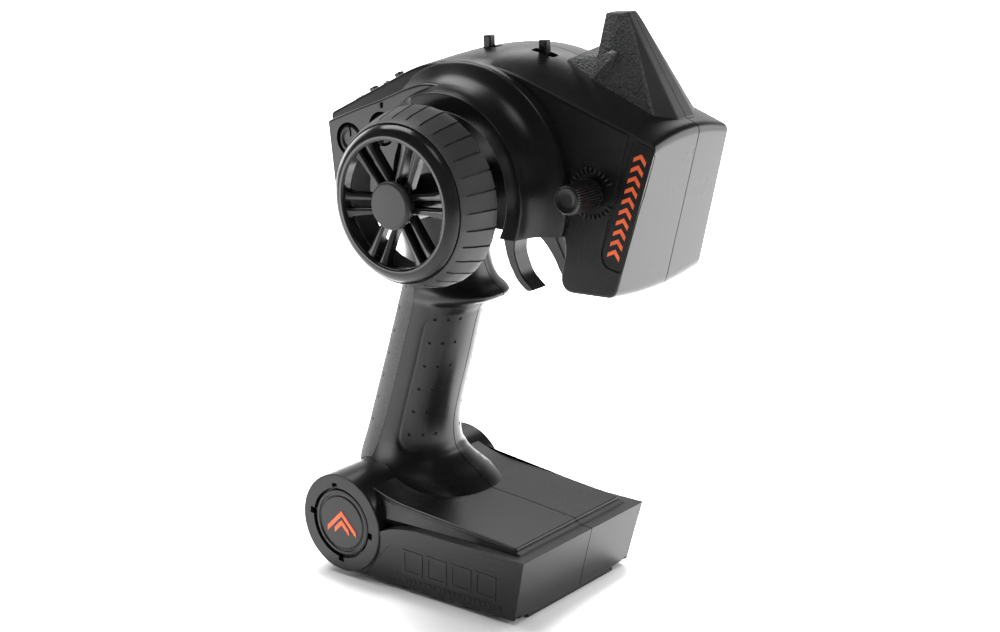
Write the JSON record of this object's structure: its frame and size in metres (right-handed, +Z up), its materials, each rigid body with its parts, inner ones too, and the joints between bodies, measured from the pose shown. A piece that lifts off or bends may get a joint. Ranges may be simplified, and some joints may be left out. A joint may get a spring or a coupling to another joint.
{
  "type": "radio transmitter controller",
  "caption": "Pistol-grip radio control transmitter with a spoked steering wheel, throttle trigger, trim controls, antenna fin and battery base",
  "frame": {"origin": "middle of the flat battery door that the transmitter stands on, under the grip", "axes": "+X towards the front that points at the model, +Y to the transmitter's left with the wheel on -Y, +Z up"},
  "size_m": [0.1599, 0.1135, 0.2312],
  "materials": {
    "case_plastic": "satin black moulded ABS",
    "textured_plastic": "black ABS with a coarse spark texture",
    "gloss_plastic": "gloss black moulded ABS",
    "grip_rubber": "stippled soft black rubber",
    "wheel_foam": "smooth dark rubber with narrow grooves",
    "orange_mark": "orange moulded plastic",
    "lens": "red translucent lens, modelled opaque",
    "steel": "plated steel",
    "brass": "turned brass",
    "board": "green circuit board",
    "cell_wrap": "plain blue printed sleeve over a metal can",
    "pot_body": "dark moulded switch and sensor bodies"
  },
  "bodies": {
    "transmitter": {"case_right": "case_plastic", "case_left": "case_plastic", "fin_right": "textured_plastic", "fin_left": "textured_plastic", "antenna": "brass", "wheel_bush": "brass", "wheel_spring": "steel", "steering_pot": "pot_body", "trigger_pin": "steel", "trigger_spring": "steel", "trigger_pot": "pot_body", "rate_pot": "pot_body", "limit_switch": "pot_body", "aux_switch": "pot_body", "rear_panel": "gloss_plastic", "power_lamp": "lens", "status_lamp": "lens", "switch_board": "board", "main_board": "board", "radio_board": "board", "contact_plate_front": "steel", "contact_plate_rear": "steel", "grip_back_strap": "grip_rubber", "side_badge": "gloss_plastic", "heel_cap_right": "case_plastic", "heel_cap_left": "case_plastic", "battery_cell_1": "cell_wrap", "contact_spring_1": "steel", "battery_cell_2": "cell_wrap", "contact_spring_2": "steel", "battery_cell_3": "cell_wrap", "contact_spring_3": "steel", "battery_cell_4": "cell_wrap", "contact_spring_4": "steel", "case_screw_1": "steel", "case_screw_2": "steel", "case_screw_3": "steel", "case_screw_4": "steel", "case_screw_5": "steel", "case_screw_6": "steel"},
    "steering_wheel": {"wheel_rim": "gloss_plastic", "wheel_tyre": "wheel_foam", "wheel_cap": "gloss_plastic", "wheel_shaft": "steel"},
    "throttle_trigger": {"trigger": "case_plastic"},
    "rate_knob_body": {"rate_knob": "case_plastic"},
    "steering_dial": {"steering_trim_dial": "case_plastic"},
    "throttle_dial": {"throttle_trim_dial": "case_plastic"},
    "limit_stick": {"limit_lever": "case_plastic"},
    "aux_stick": {"aux_lever": "case_plastic"},
    "steering_trim": {"steering_trim_lever": "case_plastic"},
    "throttle_trim": {"throttle_trim_lever": "case_plastic"},
    "power_slider": {"power_switch": "orange_mark"},
    "steering_reverse": {"steering_reverse_switch": "case_plastic"},
    "throttle_reverse": {"throttle_reverse_switch": "case_plastic"},
    "bind": {"bind_button": "case_plastic"},
    "battery_cover": {"battery_door": "case_plastic"}
  },
  "joints": [
    {"name": "wheel_turn", "type": "hinge", "parent": "transmitter", "child": "steering_wheel", "pos_m": [0.0199, -0.0692, 0.1675], "axis": [0, -1, 0], "range_deg": [-38, 38], "stiffness_Nm_per_rad": 0.06},
    {"name": "trigger_pull", "type": "hinge", "parent": "transmitter", "child": "throttle_trigger", "pos_m": [0.033, 0.002, 0.164], "axis": [0, 1, 0], "range_deg": [-12, 22], "stiffness_Nm_per_rad": 0.12},
    {"name": "rate_knob_turn", "type": "hinge", "parent": "transmitter", "child": "rate_knob_body", "pos_m": [0.0744, -0.0276, 0.1704], "axis": [0.0697, -0.9963, 0.0498], "range_deg": [-140, 140]},
    {"name": "steering_dial_turn", "type": "hinge", "parent": "transmitter", "child": "steering_dial", "pos_m": [-0.0305, -0.0333, 0.18], "axis": [0, -1, 0], "range_deg": [-135, 135]},
    {"name": "throttle_dial_turn", "type": "hinge", "parent": "transmitter", "child": "throttle_dial", "pos_m": [-0.014, -0.0333, 0.1858], "axis": [0, -1, 0], "range_deg": [-135, 135]},
    {"name": "limit_lever_slide", "type": "slide", "parent": "transmitter", "child": "limit_stick", "axis": [1, 0, 0], "range_m": [-0.0017, 0.0017]},
    {"name": "aux_lever_slide", "type": "slide", "parent": "transmitter", "child": "aux_stick", "axis": [1, 0, 0], "range_m": [-0.0017, 0.0017]},
    {"name": "steering_trim_slide", "type": "slide", "parent": "transmitter", "child": "steering_trim", "axis": [0, 1, 0], "range_m": [-0.002, 0.002]},
    {"name": "throttle_trim_slide", "type": "slide", "parent": "transmitter", "child": "throttle_trim", "axis": [0.8862, 0, 0.4633], "range_m": [-0.002, 0.002]},
    {"name": "power_switch_slide", "type": "slide", "parent": "transmitter", "child": "power_slider", "axis": [0.8862, 0, 0.4633], "range_m": [0, 0.0045]},
    {"name": "steering_reverse_slide", "type": "slide", "parent": "transmitter", "child": "steering_reverse", "axis": [0, 1, 0], "range_m": [0, 0.0025]},
    {"name": "throttle_reverse_slide", "type": "slide", "parent": "transmitter", "child": "throttle_reverse", "axis": [0, 1, 0], "range_m": [0, 0.0025]},
    {"name": "bind_button_press", "type": "slide", "parent": "transmitter", "child": "bind", "axis": [0.4633, 0, -0.8862], "range_m": [0, 0.0012], "stiffness_N_per_m": 250},
    {"name": "battery_door_slide", "type": "slide", "parent": "transmitter", "child": "battery_cover", "axis": [1, 0, 0], "range_m": [0, 0.01]}
  ]
}
